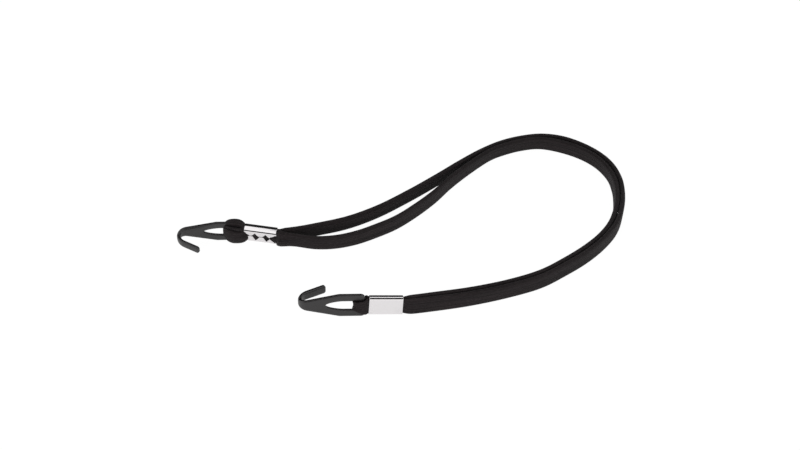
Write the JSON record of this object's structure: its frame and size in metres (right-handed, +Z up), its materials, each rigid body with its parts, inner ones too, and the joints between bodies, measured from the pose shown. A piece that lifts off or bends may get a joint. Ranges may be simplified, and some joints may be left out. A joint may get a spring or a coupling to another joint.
{
  "type": "flat elastic bungee strap",
  "caption": "Flat textile-covered elastic strap lying in a U, doubled between crimped bright ferrules, with a black sheet-steel hook at each end.",
  "frame": {"origin": "on the surface that the strap lies on, under the middle of the box round the two hooked ends", "axes": "+Z up from that surface, +X from the hooked ends to the closed side of the U, +Y from the near end to the far end"},
  "size_m": [0.2979, 0.201, 0.0161],
  "materials": {
    "black_coated_steel": "black powder coat, satin",
    "bright_plated_steel": "bright nickel plate, pressed and crimped",
    "black_woven_sleeve": "black woven textile with fine lengthwise ribs",
    "rubber_core": "plain rubber, hidden in the sleeve"
  },
  "bodies": {
    "strap": {"outer_strand_sleeve": "black_woven_sleeve", "outer_strand_core": "rubber_core", "inner_strand_sleeve": "black_woven_sleeve", "inner_strand_core": "rubber_core", "far_ferrule": "bright_plated_steel", "far_outer_loop_sleeve": "black_woven_sleeve", "far_outer_loop_core": "rubber_core", "far_inner_loop_sleeve": "black_woven_sleeve", "far_inner_loop_core": "rubber_core"},
    "near_end": {"near_ferrule": "bright_plated_steel", "near_loop_sleeve": "black_woven_sleeve", "near_loop_core": "rubber_core"},
    "near_hook": {"near_hook": "black_coated_steel"},
    "far_hook": {"far_hook": "black_coated_steel"}
  },
  "joints": [
    {"name": "stretch", "type": "slide", "parent": "strap", "child": "near_end", "axis": [-0.9962, -0.0872, 0], "range_m": [0, 0.145], "stiffness_N_per_m": 480, "deforming": ["outer_strand_sleeve", "outer_strand_core", "inner_strand_sleeve", "inner_strand_core"]},
    {"name": "near_hook_swing", "type": "hinge", "parent": "near_end", "child": "near_hook", "pos_m": [0.048, -0.0422, 0.00809], "axis": [0, 0, 1], "range_deg": [-41, 49], "stiffness_Nm_per_rad": 0.02, "deforming": ["near_loop_sleeve", "near_loop_core"]},
    {"name": "far_hook_swing", "type": "hinge", "parent": "strap", "child": "far_hook", "pos_m": [-0.0344, 0.038, 0.00813], "axis": [0, 0, 1], "range_deg": [-53, 37], "stiffness_Nm_per_rad": 0.02, "deforming": ["far_outer_loop_sleeve", "far_outer_loop_core", "far_inner_loop_sleeve", "far_inner_loop_core"]}
  ]
}
